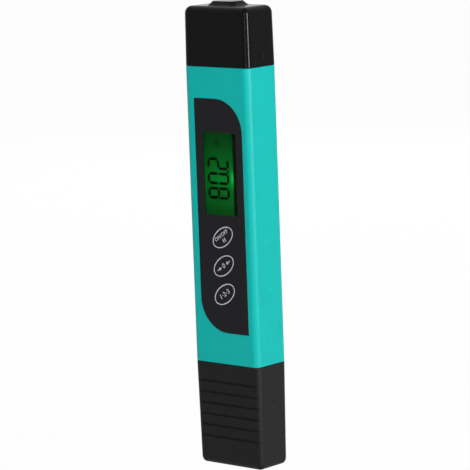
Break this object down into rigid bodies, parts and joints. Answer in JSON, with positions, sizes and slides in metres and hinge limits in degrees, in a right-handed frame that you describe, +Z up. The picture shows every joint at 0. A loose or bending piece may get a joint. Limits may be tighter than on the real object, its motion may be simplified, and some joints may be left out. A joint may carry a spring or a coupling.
{
  "type": "tds meter",
  "caption": "Slim pen meter for dissolved solids in water, with a lit display, oval keys, a pull-off battery cap and a ribbed protective cap over its probe.",
  "frame": {"origin": "middle of the foot, the protective cap's flat lower face", "axes": "+Z up along the pen, +X to the right of someone who faces the display, +Y from the display to the back"},
  "size_m": [0.0282, 0.0154, 0.1553],
  "materials": {
    "housing_plastic": "semi-gloss moulded",
    "label_film": "matt printed film",
    "clear_lens": "clear acrylic",
    "key_plastic": "matt printed film",
    "stem_plastic": "moulded",
    "switch_plastic": "moulded",
    "board_laminate": "solder mask",
    "chip_resin": "cured resin",
    "bright_metal": "drawn can",
    "component_ceramic": "matt",
    "frame_plastic": "moulded",
    "screw_steel": "zinc plated",
    "display_glass": "polarised, lit green",
    "contact_rubber": "striped",
    "light_guide": "frosted acrylic",
    "lamp_resin": "clear resin",
    "holder_plastic": "moulded",
    "contact_metal": "sprung strip",
    "cell_steel": "plated",
    "battery_cap_plastic": "satin moulded",
    "head_plastic": "moulded",
    "electrode_metal": "turned titanium",
    "sheath_steel": "polished tube",
    "seal_resin": "poured",
    "lead_insulation": "extruded",
    "protective_cap_plastic": "fine-grained moulded"
  },
  "bodies": {
    "meter": {"housing": "housing_plastic", "label_overlay": "label_film", "window_lens": "clear_lens", "switch_bodies": "switch_plastic", "circuit_board": "board_laminate", "chip_cover": "chip_resin", "crystal": "bright_metal", "board_parts": "component_ceramic", "display_frame": "frame_plastic", "frame_screws": "screw_steel", "display_glass": "display_glass", "contact_rubber": "contact_rubber", "light_guide": "light_guide", "backlight_lamp": "lamp_resin", "battery_holder": "holder_plastic", "contact_front": "contact_metal", "contact_rear": "contact_metal", "cell_front": "cell_steel", "cell_rear": "cell_steel", "probe_head": "head_plastic", "electrode_left": "electrode_metal", "electrode_right": "electrode_metal", "sensor_sheath": "sheath_steel", "head_seal": "seal_resin", "probe_leads": "lead_insulation"},
    "power_key": {"key_power": "key_plastic", "stem_power": "stem_plastic"},
    "clear_key": {"key_clear": "key_plastic", "stem_clear": "stem_plastic"},
    "mode_key": {"key_mode": "key_plastic", "stem_mode": "stem_plastic"},
    "battery_cover": {"battery_cap": "battery_cap_plastic"},
    "probe_cover": {"protective_cap": "protective_cap_plastic"}
  },
  "joints": [
    {"name": "protective_cap_pull", "type": "slide", "parent": "meter", "child": "probe_cover", "axis": [0, 0, -1], "range_m": [0, 0.03]},
    {"name": "battery_cap_pull", "type": "slide", "parent": "meter", "child": "battery_cover", "axis": [0, 0, 1], "range_m": [0, 0.02]},
    {"name": "power_key_press", "type": "slide", "parent": "meter", "child": "power_key", "axis": [0, 1, 0], "range_m": [0, 0.00025], "stiffness_N_per_m": 2000},
    {"name": "clear_key_press", "type": "slide", "parent": "meter", "child": "clear_key", "axis": [0, 1, 0], "range_m": [0, 0.00025], "stiffness_N_per_m": 2000},
    {"name": "mode_key_press", "type": "slide", "parent": "meter", "child": "mode_key", "axis": [0, 1, 0], "range_m": [0, 0.00025], "stiffness_N_per_m": 2000}
  ]
}
